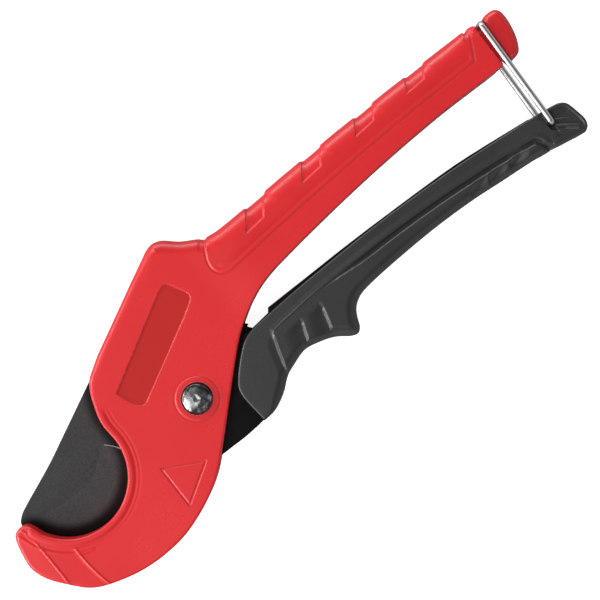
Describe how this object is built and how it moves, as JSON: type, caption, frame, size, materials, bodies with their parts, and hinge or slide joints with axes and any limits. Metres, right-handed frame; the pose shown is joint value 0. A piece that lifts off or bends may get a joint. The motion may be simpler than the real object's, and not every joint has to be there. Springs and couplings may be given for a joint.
{
  "type": "ratcheting pipe cutter",
  "caption": "Hand-held ratcheting cutter for plastic pipe: hooked jaw with a coated blade, fixed handle, squeezing lever and a wire bail that holds it shut.",
  "frame": {"origin": "middle of the closed tool's bounding box, on the middle plane between the two shells", "axes": "+X along the handles towards their far ends, +Y from the lever towards the fixed handle, +Z through the thickness, parallel to the main pivot, towards the pivot bolt's head"},
  "size_m": [0.2062, 0.0708, 0.0218],
  "materials": {
    "red_moulding": "fine moulded texture, satin",
    "black_moulding": "fine moulded texture, satin",
    "coated_blade_steel": "dark non-stick coating, matte",
    "blackened_steel": "black oxide, satin",
    "bright_steel": "polished",
    "chromed_wire": "polished",
    "zinc_steel": "zinc plated",
    "spring_steel": "drawn wire"
  },
  "bodies": {
    "root": {"front_shell": "red_moulding", "rear_shell": "red_moulding", "pivot_bolt": "bright_steel", "pivot_washer": "zinc_steel", "pivot_nut": "zinc_steel", "pivot_bush": "zinc_steel", "thrust_washer_front": "black_moulding", "thrust_washer_rear": "black_moulding", "return_spring": "spring_steel", "body_screw_1": "zinc_steel", "body_screw_2": "zinc_steel", "body_screw_3": "zinc_steel", "body_screw_4": "zinc_steel", "body_screw_5": "zinc_steel", "holding_pawl_pin": "zinc_steel", "holding_pawl_spring": "spring_steel", "blade_stop_pin": "zinc_steel"},
    "blade": {"blade": "coated_blade_steel"},
    "lever": {"lever_channel": "blackened_steel", "lever_grip_front": "black_moulding", "lever_grip_rear": "black_moulding", "grip_screw_1": "zinc_steel", "grip_screw_2": "zinc_steel", "grip_screw_3": "zinc_steel", "drive_pawl_pin": "zinc_steel", "drive_pawl_spring": "spring_steel"},
    "drive_pawl": {"drive_pawl": "zinc_steel"},
    "holding_pawl": {"holding_pawl": "zinc_steel"},
    "bail": {"bail": "chromed_wire"}
  },
  "joints": [
    {"name": "blade_pivot", "type": "hinge", "parent": "root", "child": "blade", "pos_m": [-0.03505, -0.007, 0], "axis": [0, 0, -1], "range_deg": [0, 50]},
    {"name": "lever_pivot", "type": "hinge", "parent": "root", "child": "lever", "pos_m": [-0.03505, -0.007, 0], "axis": [0, 0, -1], "range_deg": [-1, 45]},
    {"name": "drive_pawl_pivot", "type": "hinge", "parent": "lever", "child": "drive_pawl", "pos_m": [-0.00715, -0.01396, 0], "axis": [0, 0, 1], "range_deg": [0, 8]},
    {"name": "holding_pawl_pivot", "type": "hinge", "parent": "root", "child": "holding_pawl", "pos_m": [-0.00921, 0.0056, 0], "axis": [0, 0, 1], "range_deg": [0, 8]},
    {"name": "bail_pivot", "type": "hinge", "parent": "lever", "child": "bail", "pos_m": [0.09345, -0.0118, 0], "axis": [0, 0, -1], "range_deg": [0, 120]}
  ]
}
